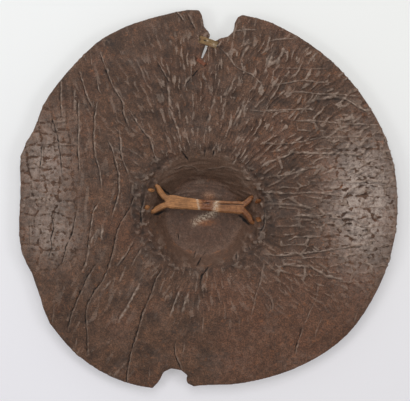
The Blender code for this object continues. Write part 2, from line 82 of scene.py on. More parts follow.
# Each line: its kind, and its places from end to end
LINES = (
    # lower left
    (CRACK, ((-113, 5), (-123, -20), (-134, -37), (-143, -57), (-148, -84), (-156, -112),
             (-167, -135), (-178, -148), (-189, -170), (-192, -188), (-190, -212), (-189, -250))),
    (CRACK, ((-176, -106), (-191, -130), (-198, -146), (-207, -168), (-216, -188), (-221, -212))),
    (CRACK, ((-70, -110), (-81, -130), (-90, -157), (-100, -179), (-109, -208), (-118, -236),
             (-125, -265), (-128, -300))),
    (CRACK, ((-205, -20), (-212, -55), (-222, -79), (-230, -108))),
    (CRACK, ((-238, -22), (-243, -36), (-241, -50), (-246, -66), (-245, -80), (-250, -96))),
    (LIPPED, ((-170, -6), (-181, -25), (-187, -70), (-191, -101), (-199, -119))),
    (LIPPED, ((-114, -68), (-123, -84), (-132, -97), (-141, -109))),
    (LIPPED, ((-103, -79), (-114, -97), (-120, -109))),
    (RIDGE, ((-128, -108), (-135, -123), (-140, -133))),
    (RIDGE, ((-107, -134), (-118, -154), (-127, -172), (-138, -188), (-143, -202))),
    (RIDGE, ((-151, -132), (-163, -148))),
    (RIDGE, ((-178, -57), (-186, -73))),
    (RIDGE, ((-166, -46), (-168, -68))),
    (RIDGE, ((-43, -141), (-50, -161), (-56, -177), (-61, -189))),
    (RIDGE, ((-29, -146), (-36, -165), (-41, -182))),
    (FAINT, ((-207, -222), (-210, -242))),
    (CRACK, ((-52, -230), (-50, -250), (-43, -265), (-40, -276))),
    (FAINT, ((-35, -226), (-39, -249))),
    (FAINT, ((-92, -272), (-93, -292))),
    (FAINT, ((-281, -25), (-280, -80))),
    (FAINT, ((-243, -165), (-247, -207))),
    # upper left
    (LIPPED, ((-170, 230), (-159, 200), (-151, 178), (-140, 161), (-133, 148), (-132, 131),
              (-122, 107))),
    (LIPPED, ((-203, 200), (-196, 178), (-189, 156), (-179, 140))),
    (LIPPED, ((-121, 133), (-110, 117), (-99, 101), (-91, 93), (-85, 71), (-78, 54))),
    (LIPPED, ((-174, 190), (-173, 172), (-167, 160))),
    (LIPPED, ((-174, 152), (-178, 126), (-179, 93), (-177, 65), (-169, 41), (-167, 14))),
    (LIPPED, ((-204, 155), (-203, 120), (-204, 79), (-201, 36))),
    (LIPPED, ((-232, 188), (-232, 159), (-229, 121))),
    (RIDGE, ((-211, 172), (-211, 135))),
    (CRACK, ((-247, 133), (-239, 109), (-233, 84), (-230, 54), (-228, 36))),
    (LIPPED, ((-261, 86), (-264, 36))),
    (LIPPED, ((-157, 89), (-148, 71), (-145, 54), (-140, 38), (-139, 10), (-143, -9), (-151, -32))),
    (LIPPED, ((-139, 108), (-137, 79), (-132, 54), (-123, 31))),
    (RIDGE, ((-118, 22), (-119, 4))),
    (RIDGE, ((-240, 117), (-208, 123))),
    (FAINT, ((-262, 84), (-233, 82), (-200, 83))),
    (RIDGE, ((-63, 182), (-60, 139), (-47, 106), (-41, 84))),
    (FAINT, ((-186, 235), (-182, 200))),
    (LIPPED, ((-80, 215), (-58, 180))),
    (LIPPED, ((-51, 296), (-36, 278))),
    (LIPPED, ((-32, 291), (-18, 265))),
    # top and upper right
    (THIN, ((21, 235), (33, 223), (42, 209), (51, 202), (70, 193), (88, 176))),
    (SLIT, ((-14, 204), (-19, 197), (-25, 190))),
    (LIPPED, ((-25, 190), (-32, 181), (-36, 171))),
    (THIN, ((42, 263), (60, 265), (79, 264))),
    (THIN, ((97, 246), (116, 249), (134, 251), (144, 253))),
    (RIDGE, ((106, 239), (97, 213), (88, 195))),
    (RIDGE, ((118, 232), (106, 206))),
    (RIDGE, ((67, 243), (56, 230), (51, 213))),
    (FAINT, ((109, 204), (139, 203), (162, 202), (194, 203))),
    (RIDGE, ((46, 195), (37, 176), (29, 158))),
    (RIDGE, ((60, 158), (51, 135), (40, 112))),
    (RIDGE, ((10, 158), (3, 130), (-2, 114))),
    (RIDGE, ((30, 144), (21, 121))),
    (THIN, ((99, 174), (118, 178), (135, 181), (154, 184), (173, 181), (196, 180))),
    (THIN, ((121, 161), (140, 166), (159, 165), (178, 162), (200, 162), (228, 160), (247, 159))),
    (RIDGE, ((156, 146), (173, 153), (189, 156), (206, 157), (222, 153), (239, 142), (263, 129))),
    (THIN, ((66, 136), (85, 135), (107, 136), (132, 137), (156, 139), (178, 136))),
    (THIN, ((129, 121), (154, 120), (178, 119), (200, 117), (222, 115), (244, 115), (278, 113))),
    (RIDGE, ((198, 96), (209, 107), (222, 112))),
    (THIN, ((85, 84), (107, 83), (132, 84), (154, 87), (173, 92), (195, 94), (217, 95), (236, 95),
             (262, 92))),
    (RIDGE, ((99, 70), (118, 73), (130, 79))),
    (RIDGE, ((90, 51), (107, 57), (123, 62), (133, 69), (154, 69), (178, 68), (206, 68),
             (228, 67), (251, 64))),
    (RIDGE, ((101, 32), (123, 34), (143, 39), (159, 44), (185, 48))),
    (RIDGE, ((192, 23), (206, 29), (223, 29))),
    (RIDGE, ((214, 21), (233, 23), (255, 25), (277, 23), (298, 21))),
    (RIDGE, ((88, 7), (107, 6), (129, 4), (154, 6), (178, 6), (200, 3), (215, 0))),
    (RIDGE, ((96, -12), (118, -12), (137, -13), (154, -16), (168, -21))),
    (RIDGE, ((134, -31), (151, -30), (167, -31), (184, -29), (201, -26))),
    # lower right
    (RIDGE, ((126, -70), (138, -64), (155, -63), (173, -62))),
    (RIDGE, ((86, -90), (109, -93), (132, -92), (155, -89), (178, -86), (201, -83), (224, -79),
             (250, -76))),
    (RIDGE, ((117, -97), (120, -107), (138, -110), (161, -110), (172, -116), (190, -126),
             (216, -132))),
    (FAINT, ((92, -149), (100, -158), (103, -169), (102, -181))),
    (FAINT, ((175, -135), (172, -158), (161, -181), (152, -202))),
    (CRACK, ((152, -202), (144, -227), (139, -250))),
    (FAINT, ((182, -188), (171, -212), (169, -226))),
    (FAINT, ((238, -182), (232, -198))),
    (FAINT, ((-6, -188), (-9, -217))),
    (FAINT, ((89, -103), (84, -129), (77, -152), (69, -187))),
    # mouth of the boss
    (CRACK, ((-97, 5), (-104, -22), (-101, -46))),
    (CRACK, ((92, -18), (90, -44), (80, -62))),
    (SLIT, ((-40, 75), (-26, 57))),
    (SLIT, ((-1, 79), (-5, 61))),
    (CRACK, ((12, 75), (8, 62))),
    (SLIT, ((-4, -87), (-17, -108))),
    (CRACK, ((-17, -86), (-21, -97))),
    (SLIT, ((5, -108), (-7, -124), (-11, -141))),
    (CRACK, ((65, -73), (68, -83))),
    (CRACK, ((48, -88), (47, -100))),
    (CRACK, ((-44, -57), (-44, -69))),
    (RIDGE, ((37, 51), (45, 59), (44, 69))),
    (RIDGE, ((54, 29), (73, 26))),
    (RIDGE, ((59, 47), (76, 41))),
    (FAINT, ((-70, 45), (-48, 44), (-37, 49), (-20, 48), (-15, 41), (4, 44), (26, 47), (37, 45),
             (54, 38))),
    # painted shadow: dark lines on the hide beside the legs of the handle, where the legs shade it
    (GAP_SHADOW, ((-78, 21), (-71, 15), (-63, 8), (-56, 4))),
    (GAP_SHADOW, ((-86, -27), (-78, -24), (-69, -21), (-62, -19))),
    (GAP_SHADOW, ((50, -27), (57, -32), (64, -39), (70, -45))),
    (GAP_SHADOW, ((52, -8), (59, -5), (67, 2))),
)

# Middle line of the tear
TEAR = ((7, 256), (2, 245), (-1, 238), (-5, 228), (-9.5, 216.5))

# Middle lines of the strap and of its four legs
STRAP_PATHS = (
    ((-60, -6.8), (-44, -8.5), (-20, -11), (0, -12.7), (23, -15), (44, -16), (58, -16.5)),
    ((-56, -5), (-67, 0.5), (-74, 9), (-79.5, 17.5), (-88.5, 11.5)),
    ((-56, -9.5), (-68, -13), (-78, -18), (-87, -22.5), (-95, -16.5)),
    ((46, -13), (58, -11), (65, -6), (71.5, -0.5), (81, -6)),
    ((46, -18.5), (58, -22), (66, -30.5), (73, -40), (82, -35.5)),
)

# Limits and steps of the meshes
MERGE_DISTANCE = 1e-6
WEIGHT_STEPS = 16
COUNT_MARGIN = 0.995
HANDLE_FACES = 150000

# The stage: each light's name, place, size in metres, watts and whether it casts a shadow
LIGHTS = (
    ("key", (-0.1, 0.7, 2.4), 1.0, 15.0, True),
    ("left", (-1.2, -0.2, 2.3), 0.7, 7.5, True),
    ("right", (1.2, -0.05, 2.3), 0.7, 8.0, True),
    ("graze", (-0.8, 4.4, 2.3), 1.2, 95.0, False),
)
WORLD_LIGHT = 0.36
FLOOR_SIZE = 12.0
FLOOR_DROP = 0.0002
SENSOR = 36.0
CAMERA_PLACE = (-0.00517, -0.00242, 3.040)

# The camera sees this breadth at this distance, in metres
VIEW_BREADTH = 0.649
VIEW_DISTANCE = 3.0


# Sizes and colours


def length_prop(name, description, default, low, high):
    return bpy.props.FloatProperty(
        name=name, description=description, default=default, min=low, max=high, unit="LENGTH")


def count_prop(name, description, default, low, high):
    return bpy.props.IntProperty(
        name=name, description=description, default=default, min=low, max=high)


def colour_prop(name, description, default):
    return bpy.props.FloatVectorProperty(
        name=name, description=description, subtype="COLOR", size=3, min=0, max=1,
        default=default)


class ShieldSizes(bpy.types.PropertyGroup):
    voxel: length_prop("Hide grid", "Fineness of the hide's surface", 0.0014, 0.0008, 0.01)
    wrinkle: length_prop(
        "Wrinkle height", "Height of the fine wrinkles on the inner side", 0.0010, 0.0, 0.003)
    swell: length_prop(
        "Swell", "Height of the broad swells of the dried hide", 0.0018, 0.0, 0.01)
    plateau: length_prop(
        "Plateau height", "Height of the polished plateaus near the rim", 0.0008, 0.0, 0.004)
    hide_faces: count_prop(
        "Hide triangles", "Triangles kept on the hide", 190000, 20000, 199000)
    outer_faces: count_prop(
        "Outer triangles", "Triangles kept on the plainer outer side", 30000, 5000, 90000)
    rawhide_voxel: length_prop(
        "Rawhide grid", "Fineness of the handle and stitches", 0.0005, 0.0003, 0.003)


class ShieldColours(bpy.types.PropertyGroup):
    hide_dark: colour_prop("Hide, dark", "Darker brown of the hide", (0.056, 0.027, 0.0145))
    hide_light: colour_prop("Hide, light", "Lighter brown of the hide", (0.114, 0.054, 0.029))
    hide_red: colour_prop("Hide, red", "Red-brown patches", (0.130, 0.053, 0.027))
    # its lighter tone in the well also lifts the shade of the hollow: painted light
    hide_plum: colour_prop("Hide, plum", "Purple-brown of the well", (0.120, 0.067, 0.046))
    # painted light: lighter than the brim, lifting the shade that falls on the upper wall of the
    # well
    hide_olive: colour_prop(
        "Hide, olive", "Grey-brown of the upper wall of the well", (0.152, 0.089, 0.060))
    rust: colour_prop("Rust", "Rust-coloured flecks", (0.30, 0.105, 0.034))
    # partly the worn colour of the crests, partly a painted highlight on them
    ridge: colour_prop("Ridges", "Worn crests of the wrinkles", (0.33, 0.248, 0.195))
    # partly the polish of handling, partly a painted sheen
    polish_and_sheen: colour_prop("Polish", "Handled grey shine near the rim", (0.42, 0.335, 0.285))
    # painted shade, with some dirt: the near-black in the depths of cracks, slits, grooves, holes
    # and beside the handle's legs; the stain borrows it too
    crack: colour_prop("Cracks", "Bottom of the cracks", (0.010, 0.007, 0.006))
    crust: colour_prop("Crust", "Pale dried crust", (0.50, 0.40, 0.30))
    rawhide: colour_prop("Rawhide", "Tan of the handle", (0.385, 0.176, 0.068))
    handled: colour_prop(
        "Rawhide, handled", "Red-brown middle of the handle", (0.130, 0.040, 0.013))
    lace: colour_prop("Lace", "Ochre of the lace", (0.23, 0.140, 0.055))
    stitch: colour_prop("Stitch", "Red-brown of the small stitch", (0.22, 0.070, 0.032))


# Patterns in plan


def fade(x, start, end):
    """0 before start, 1 past end, smooth between; start may be the larger."""
    t = np.clip((x - start) / (end - start), 0.0, 1.0)
    return t * t * (3 - 2 * t)


def between(x, low, high, soft):
    """1 from low to high, fading to 0 over a soft edge outside them."""
    return fade(x, low - soft, low) * fade(x, high + soft, high)


def scatter(ix, iy, seed):
    """A repeatable number from 0 to 1 for each cell of a grid."""
    n = ix.astype(np.int64) * 374761393 + iy.astype(np.int64) * 668265263 + seed * 97463
    n = (n ^ (n >> 13)) & 0xFFFFFFFF
    n = (n * 1274126177) & 0xFFFFFFFF
    return ((n ^ (n >> 16)) & 0xFFFFFF) / float(0x1000000)


def waves(x, y, seed):
    """Smooth noise, about -1 to 1, with features one unit across."""
    ix, iy = np.floor(x), np.floor(y)
    fx, fy = x - ix, y - iy
    sx = fx * fx * fx * (fx * (fx * 6 - 15) + 10)
    sy = fy * fy * fy * (fy * (fy * 6 - 15) + 10)
    total = 0.0
    for ox in (0, 1):
        for oy in (0, 1):
            turn = scatter(ix + ox, iy + oy, seed) * 2 * math.pi
            slope = np.cos(turn) * (fx - ox) + np.sin(turn) * (fy - oy)
            total = total + slope * (sx if ox else 1 - sx) * (sy if oy else 1 - sy)
    return total * 1.5


def blots(x, y, size, seed):
    """Smooth noise, about -1 to 1, with features of one size in mm."""
    return waves(x / size, y / size, seed)


def cells(x, y, seed):
    """Distances to the nearest and to the second nearest of scattered points."""
    ix, iy = np.floor(x), np.floor(y)
    near = np.full(x.shape, 9.0)
    second = np.full(x.shape, 9.0)
    for ox in (-1, 0, 1):
        for oy in (-1, 0, 1):
            px = ix + ox + 0.15 + 0.7 * scatter(ix + ox, iy + oy, seed)
            py = iy + oy + 0.15 + 0.7 * scatter(ix + ox, iy + oy, seed + 7)
            d = np.hypot(px - x, py - y)
            second = np.minimum(second, np.maximum(d, near))
            near = np.minimum(near, d)
    return near, second


def crest(n, width):
    """1 along the lines where the field crosses zero, falling to 0 within a width."""
    t = np.clip(1 - np.abs(n) / width, 0, 1)
    return t * t * (3 - 2 * t)


def hump(x, middle, half):
    """1 at the middle, falling smoothly to 0 on both sides of it."""
    return np.exp(-((x - middle) / half) ** 2)


def bump_at(x, y, cx, cy, half_x, half_y):
    """1 at a place, falling smoothly to 0 all round it."""
    return np.exp(-((x - cx) / half_x) ** 2 - ((y - cy) / half_y) ** 2)


def path_flow(x, y, paths):
    """Lengthwise and crosswise distances in mm from the nearest of several paths."""
    best = np.full(x.shape, 1e9)
    along, across = np.zeros(x.shape), np.zeros(x.shape)
    for path in paths:
        start = 0.0
        for (ax, ay), (bx, by) in zip(path, path[1:]):
            run = math.hypot(bx - ax, by - ay)
            dx, dy = (bx - ax) / run, (by - ay) / run
            s = np.clip((x - ax) * dx + (y - ay) * dy, 0, run)
            off = (y - ay) * dx - (x - ax) * dy
            d = np.hypot(x - ax - s * dx, y - ay - s * dy)
            closer = d < best
            best = np.where(closer, d, best)
            along = np.where(closer, start + s, along)
            across = np.where(closer, off, across)
            start += run
    return along, across, best


def line_field(x, y):
    """Distance in breadths to the nearest line, and how dark and how light it is there."""
    off = np.full(x.shape, LINE_REACH)
    best = np.full(x.shape, LINE_REACH)
    dark = np.zeros(x.shape)
    light = np.zeros(x.shape)
    for (crack, lip, breadth), points in LINES:
        points = np.array(points, float)
        total = np.hypot(*np.diff(points, axis=0).T).sum()
        whole = points[-1] - points[0]
        flip = 1.0 if whole[0] * LIT_WAY[0] + whole[1] * LIT_WAY[1] >= 0 else -1.0
        low, high = points.min(axis=0) - LINE_REACH, points.max(axis=0) + LINE_REACH
        near = np.nonzero((x > low[0]) & (x < high[0]) & (y > low[1]) & (y < high[1]))[0]
        if not near.size:
            continue
        px, py = x[near], y[near]
        along, across, gap = path_flow(px, py, (points,))
        lane = np.full(px.shape, total)
        broader = np.clip(1.0 + 0.7 * waves(along / 9.0, lane, 6), 0.55, 1.6)
        gap = gap / (breadth * broader)
        ends = np.clip(np.minimum(along, total - along) / min(12.0, total / 3), 0, 1) ** 0.6
        vary = np.clip(0.8 + 0.8 * waves(along / 6.0, lane, 5), 0.2, 1.3)
        closer = gap < best[near]
        hit = near[closer]
        best[hit] = gap[closer]
        off[hit] = (gap * np.sign(across) * flip)[closer]
        dark[hit] = (crack * ends * vary)[closer]
        light[hit] = (lip * ends * vary)[closer]
    nearby = fade(best, LINE_REACH, LINE_REACH * 0.6)
    return off, dark * nearby, light * nearby


def strongest(*pairs):
    """Of several (field, mask) pairs, the field of the strongest mask at each place, and it."""
    field, mask = pairs[0]
    for other, weight in pairs[1:]:
        field = np.where(weight > mask, other, field)
        mask = np.maximum(mask, weight)
    return field, mask


def inner_relief(x, y, sizes):
    """Relief in mm and finish fields of the inner side over places in mm."""
    bx, by = x - BOSS_MIDDLE[0], y - BOSS_MIDDLE[1]
    reach, turn = np.hypot(bx, by), np.arctan2(by, bx)
    uneven = reach + 7 * blots(x, y, 26, 64)
    radius = np.hypot(x, y)
    wx = x + 2.4 * blots(x, y, 25, 11) + 0.8 * blots(x, y, 7, 12)
    wy = y + 2.4 * blots(x, y, 25, 13) + 0.8 * blots(x, y, 7, 14)

    outside = fade(reach, BOSS_MOUTH - 13, BOSS_MOUTH + 2)
    left = fade(x, -96, -135)

    # gathers that run out from the boss: how strong they are round it, and how far they reach
    degrees = np.degrees(turn)
    pull = np.interp(degrees, (-180, -150, -115, -90, -65, -40, -20, 20, 60, 100, 120, 150, 180),
                     (0.35, 0.3, 0.5, 0.6, 0.5, 0.4, 0.8, 0.95, 1.0, 0.9, 0.55, 0.35, 0.35))
    limit = np.interp(degrees, (-180, -120, -90, -60, -30, 30, 60, 110, 180),
                      (150, 190, 205, 200, 300, 340, 340, 300, 150))
    slant = turn + 0.022 * blots(x, y, 40, 41) + 0.008 * blots(x, y, 12, 47)
    near_gather = waves(slant * 31, reach / 22, 43) + 0.35 * waves(slant * 60, reach / 12, 45)
    far_gather = waves(slant * 52, reach / 22, 44) + 0.35 * waves(slant * 100, reach / 12, 46)
    gather = np.where(reach > 178 + 14 * blots(x, y, 25, 48), far_gather, near_gather)
    gather_mask = outside * pull * fade(reach, limit + 30, limit - 70)
    gather_mask = gather_mask * (1 - 0.65 * bump_at(x, y, 126, -12, 38, 50))
    gather_mask = gather_mask * np.clip(0.8 + 0.6 * blots(x, y, 24, 71), 0.1, 1)
    # lumpy skin round the mouth, roughest at both sides, and at the left rim
    sides = np.abs(np.cos(turn)) ** 1.5
    rough = 0.9 * blots(x, y, 13, 61) + 0.7 * blots(x, y, 5.5, 62)
    rough_mask = hump(uneven, BOSS_MOUTH, 17) * (0.28 + 0.6 * sides)
    rough_mask = np.maximum(rough_mask, 0.75 * bump_at(x, y, -262, -10, 46, 20))
    # long bowed wrinkles on the left, pebbles everywhere, branching ridges on the right
    bowed = waves((wx + 0.0012 * (y - 30) ** 2) / 8, wy / 34, 22)
    bowed_mask = 0.4 * left * outside * np.clip(0.6 + blots(x, y, 26, 74), 0, 1)
    pebble = blots(x, y, 5.5, 75) + 0.5 * blots(x, y, 13, 76)
    near, second = cells(wx / 36 + 0.002 * y, wy / 15, 55)
    vein_gap = (second - near) * 15
    vein = np.maximum(0.85 - vein_gap / 3.2, -0.12)
    vein_mask = 0.8 * between(x, 120, 300, 25) * between(y, -125, 130, 25)
    vein_mask = vein_mask * np.clip(0.75 + blots(x, y, 20, 77), 0.15, 1)
    # creases in the upper wall of the well
    crease = waves(x / 24, (y + 0.004 * bx * bx) / 4.2, 65)
    crease_mask = 0.24 * fade(reach, 94, 86) * between(y, 2, 60, 12)
    ridge_field, ridge_mask = strongest(
        (pebble, np.full(x.shape, 0.1)), (crease, crease_mask), (gather, gather_mask),
        (bowed, bowed_mask), (vein, vein_mask), (rough, rough_mask))

    # a soft grid of cells on the left, and larger cells below it
    gx = (wx + 0.12 * y) / 23 + 0.1 * blots(x, y, 30, 51)
    gy = (wy - 0.05 * x) / 19.5 + 0.1 * blots(x, y, 30, 52)
    gy = gy + 0.2 * (np.floor(gx) % 2)
    grid = np.minimum(np.abs(gx - np.round(gx)) * 23, np.abs(gy - np.round(gy)) * 19.5)
    grid_mask = 0.42 * between(x, -290, -222, 14) * between(y, 25, 135, 16)
    grid_mask = np.maximum(grid_mask, 0.2 * between(x, -222, -150, 14) * between(y, 20, 150, 20))
    near, second = cells(wx / 30, wy / 27, 53)
    web = (second - near) * 22
    web_mask = 0.5 * between(x, -300, -222, 12) * between(y, -112, -58, 12)
    web_mask = np.maximum(web_mask, 0.3 * left * outside * between(y, -40, 5, 14))
    groove_field, groove_mask = strongest((grid, grid_mask), (web, web_mask))

    # polished plateaus at both sides of the brim, whose light grey is partly a painted sheen
    cell_gap = np.where(x > 0, vein_gap, np.where(y < 8, web, grid))
    plateau = 0.13 * np.minimum(cell_gap, 4.0) - 0.08 + 0.62 * waves(wx / 7, wy / 5, 92)
    right_polish_sheen = bump_at(x, y, 246, -8, 50, 92)
    left_polish_sheen = bump_at(x, y, -256, 50, 42, 75) + 0.85 * bump_at(x, y, -244, -60, 44, 44)
    polish_sheen_mask = np.clip(np.maximum(1.35 * right_polish_sheen, 0.66 * left_polish_sheen), 0, 1)
    polish_sheen_mask = np.maximum(polish_sheen_mask, 0.06 * outside * fade(blots(x, y, 40, 93), 0.0, 0.5))
    raised = polish_sheen_mask * fade(plateau, 0.0, 0.25)

    # darkening round the mouth, to its right, at the upper left and on the well's floor: dirt with
    # painted shade in the creases round the mouth, painted shade at the upper left and on the
    # floor, and simply darker to the right of the mouth
    grime_and_shade = hump(uneven - BOSS_MOUTH, 8 * sides, 7 + 12 * sides) * (0.22 + 0.6 * sides)
    grime_and_shade = np.maximum(grime_and_shade, 0.66 * bump_at(x, y, 126, -12, 40, 56))
    grime_and_shade = np.maximum(grime_and_shade, 0.28 * bump_at(x, y, -95, 200, 130, 115))
    grime_and_shade = np.maximum(grime_and_shade, 0.26 * fade(reach, 74, 46))
    lumps = 0.8 * rough * hump(uneven, BOSS_MOUTH, 15) * (0.5 + 0.5 * sides)
    grime_and_shade = np.clip(grime_and_shade * (0.8 + 0.7 * blots(x, y, 10, 63)), 0, 1)

    off, dark, light = line_field(wx * 0.35 + x * 0.65 + 0.8 * blots(x, y, 4.5, 15),
                                  wy * 0.35 + y * 0.65 + 0.8 * blots(x, y, 4.5, 16))
    broad = blots(x, y, 85, 81) + 0.5 * blots(x, y, 38, 82)
    small = blots(x, y, 14, 83) + 0.5 * blots(x, y, 6, 84)
    wrinkle, swell, rise = sizes.wrinkle * TO_MM, sizes.swell * TO_MM, sizes.plateau * TO_MM
    ridges = ridge_mask * (2.2 * fade(ridge_field, -0.15, 0.6) - fade(ridge_field, -0.1, -0.6))
    domes = np.maximum(grid_mask * fade(grid, 0, 8), web_mask * fade(web, 0, 9))
    height = (wrinkle * (ridges - groove_mask * crest(groove_field, 2.0))
              + rise * raised + 1.3 * rise * domes
              + swell * broad * fade(radius, 320, 240) * (0.3 + 0.7 * outside)
              + 0.32 * small * (0.35 + 0.65 * outside) + 0.9 * lumps
              - 1.3 * dark * hump(off, CRACK_AT, 1.0) + 0.85 * light * hump(off, LIP_AT, 1.3))
    # the wall of the well, most of all its upper side, which the material tints lighter against the
    # shade there: painted light
    wall = (0.4 + 0.6 * fade(by, 5, 40)) * between(reach, 62, BOSS_MOUTH - 14, 12)
    red = between(x, 40, 230, 50) * fade(y, -90, -150)
    red = np.maximum(red, 0.9 * bump_at(x, y, -14, -60, 44, 26))
    fields = {
        "line_off": off, "line_dark": dark, "line_light": light,
        "ridge_field": ridge_field, "ridge_mask": ridge_mask,
        "groove_field": groove_field, "groove_mask": groove_mask,
        "polish_field": plateau, "polish_sheen_mask": polish_sheen_mask,
        "well": 1 - outside, "wall": wall, "grime_and_shade": grime_and_shade, "red": red,
    }
    return height, fields


def outer_relief(x, y, sizes):
    """Plainer relief and finish fields of the outer side."""
    reach = np.hypot(x - BOSS_MIDDLE[0], y - BOSS_MIDDLE[1])
    outside = fade(reach, 90, 125)
    wx, wy = x + 4 * blots(x, y, 20, 101), y + 3 * blots(x, y, 17, 107)
    near, second = cells(wx / 24, wy / 22, 102)
    web = (second - near) * 18
    folds = waves(wx / 24, wy / 90, 103)
    height = (0.6 * TO_MM * sizes.swell * blots(x, y, 80, 104)
              - outside * (0.5 * crest(web, 3) + 0.6 * crest(folds, 0.15))
              + 0.2 * blots(x, y, 12, 105))
    blank = np.zeros(x.shape)
    fields = {
        "line_off": blank + LINE_REACH, "line_dark": blank, "line_light": blank,
        "ridge_field": folds, "ridge_mask": 0.3 * outside,
        "groove_field": web, "groove_mask": 0.55 * outside,
        "polish_field": blots(x, y, 26, 106), "polish_sheen_mask": blank + 0.05,
        "well": blank, "wall": blank, "grime_and_shade": blank, "red": blank,
    }
    return height, fields


# Meshes


def select_only(obj):
    bpy.ops.object.select_all(action="DESELECT")
    obj.select_set(True)
    bpy.context.view_layer.objects.active = obj


def apply_modifier(obj, kind, **settings):
    modifier = obj.modifiers.new(kind.title(), kind)
    for key, value in settings.items():
        setattr(modifier, key, value)
    select_only(obj)
    bpy.ops.object.modifier_apply(modifier=modifier.name)


def piece_from_node(node, name):
    """A merged copy of a solid of the frame, ready to be worked."""
    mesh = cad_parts[node].data.copy()
    mesh.name = name
    obj = bpy.data.objects.new(name, mesh)
    bpy.context.scene.collection.objects.link(obj)
    mesh.materials.clear()
    bm = bmesh.new()
    bm.from_mesh(mesh)
    bmesh.ops.remove_doubles(bm, verts=bm.verts, dist=MERGE_DISTANCE)
    bm.to_mesh(mesh)
    bm.free()
    return obj


def vectors(mesh, kind):
    """The places ("co") or the directions ("normal") of a mesh's vertices."""
    values = np.empty(len(mesh.vertices) * 3)
    mesh.vertices.foreach_get(kind, values)
    return values.reshape(-1, 3)


def surface(mesh):
    """Places, directions, and the drawn places in mm."""
    co, no = vectors(mesh, "co"), vectors(mesh, "normal")
    return co, no, *drawn_mm(co)


def set_coords(mesh, co):
    mesh.vertices.foreach_set("co", co.ravel())
    mesh.update()


def set_mask(mesh, name, values):
    attribute = mesh.attributes.new(name, "FLOAT", "POINT")
    attribute.data.foreach_set("value", np.asarray(values, np.float32))


def drawn_mm(co):
    """Places in mm from the middle of the tables."""
    return (co[:, 0] - DRAWN_MIDDLE[0]) * TO_MM, (co[:, 1] - DRAWN_MIDDLE[1]) * TO_MM


def triangle_count(mesh):
    return sum(len(p.vertices) - 2 for p in mesh.polygons)


def weigh(obj, name, weights):
    """A vertex group of weights from 0 to 1, made in steps."""
    group = obj.vertex_groups.new(name=name)
    steps = np.round(np.clip(weights, 0, 1) * WEIGHT_STEPS).astype(int)
    for step in range(1, WEIGHT_STEPS + 1):
        members = np.nonzero(steps == step)[0]
        if members.size:
            group.add(members.tolist(), step / WEIGHT_STEPS, "REPLACE")


def push_out(mesh, co, no, height):
    """Move the surface outward by a height in mm."""
    co += no * (height * MM)[:, None]
    set_coords(mesh, co)


def set_flow(mesh, along, across):
    set_mask(mesh, "along", along * MM)
    set_mask(mesh, "across", across * MM)


def finish_piece(obj, material, slot, *nodes):
    obj.data.materials.clear()
    obj.data.materials.append(material)
    for polygon in obj.data.polygons:
        polygon.use_smooth = True
    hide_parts(*nodes)
    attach(obj, "root")


# Materials


def plug(tree, socket, value):
    """Link a socket to another one, or give it a value."""
    if isinstance(value, bpy.types.NodeSocket):
        tree.links.new(value, socket)
    else:
        socket.default_value = value


def add_node(tree, kind, inputs=None, **settings):
    node = tree.nodes.new(kind)
    for key, value in settings.items():
        setattr(node, key, value)
    for key, value in (inputs or {}).items():
        plug(tree, node.inputs[key], value)
    return node


def tree_of(*values):
    """The node tree that holds the first socket among some values."""
    return next(v.id_data for v in values if isinstance(v, bpy.types.NodeSocket))


def maths(operation, a, b=0.0, clamp=False):
    node = add_node(tree_of(a, b), "ShaderNodeMath", {0: a, 1: b}, operation=operation)
    node.use_clamp = clamp
    return node.outputs[0]


def times(a, b):
    return maths("MULTIPLY", a, b)


def plus(a, b, clamp=False):
    return maths("ADD", a, b, clamp)


def minus(a, b):
    return maths("SUBTRACT", a, b)


def ramp(value, low, high, to_low=0.0, to_high=1.0):
    node = add_node(tree_of(value), "ShaderNodeMapRange", {
        "Value": value, "From Min": low, "From Max": high, "To Min": to_low, "To Max": to_high})
    node.interpolation_type = "SMOOTHSTEP"
    return node.outputs["Result"]


def blend(factor, a, b, mode="MIX"):
    inputs = {0: factor, 6: a, 7: b}
    tree = tree_of(factor, a, b)
    return add_node(tree, "ShaderNodeMix", inputs, data_type="RGBA", blend_type=mode).outputs[2]


def rgba(colour):
    return (*tuple(colour), 1.0)


def mask_of(tree, name):
    return add_node(tree, "ShaderNodeAttribute", attribute_name=name).outputs["Fac"]


def noise_of(tree, vector, scale, detail=4.0, roughness=0.55, distortion=0.0):
    return add_node(tree, "ShaderNodeTexNoise", {
        "Vector": vector, "Scale": scale, "Detail": detail, "Roughness": roughness,
        "Distortion": distortion}).outputs["Fac"]


def new_group(name, inputs, outputs):
    """An empty group with named sockets; each is (name, kind, default)."""
    group = bpy.data.node_groups.new(name, "ShaderNodeTree")
    for label, kind, default in inputs:
        socket = group.interface.new_socket(label, in_out="INPUT", socket_type=kind)
        if default is not None:
            socket.default_value = default
    for label, kind in outputs:
        group.interface.new_socket(label, in_out="OUTPUT", socket_type=kind)
    start = group.nodes.new("NodeGroupInput")
    end = group.nodes.new("NodeGroupOutput")
    return group, start.outputs, end.inputs


def grain_group():
    """Pores and fine pebbles of dry skin: a height and a tone, both about 0 to 1."""
    tree, given, out = new_group(
        "SkinGrain",
        (("Vector", "NodeSocketVector", None), ("Scale", "NodeSocketFloat", 1.0)),
        (("Height", "NodeSocketFloat"), ("Tone", "NodeSocketFloat")))
    pebbles = add_node(tree, "ShaderNodeTexVoronoi", {
        "Vector": given["Vector"], "Scale": times(given["Scale"], 620.0)},
        feature="DISTANCE_TO_EDGE")
    pebble = ramp(pebbles.outputs["Distance"], 0.0, 0.35)
    soft = noise_of(tree, given["Vector"], times(given["Scale"], 190.0), 5.0, 0.6)
    fleck = noise_of(tree, given["Vector"], times(given["Scale"], 900.0), 2.0, 0.6)
    height = plus(times(pebble, 0.35), times(soft, 0.65))
    tone = plus(times(soft, 0.6), times(fleck, 0.4))
    tree.links.new(height, out["Height"])
    tree.links.new(tone, out["Tone"])
    return tree


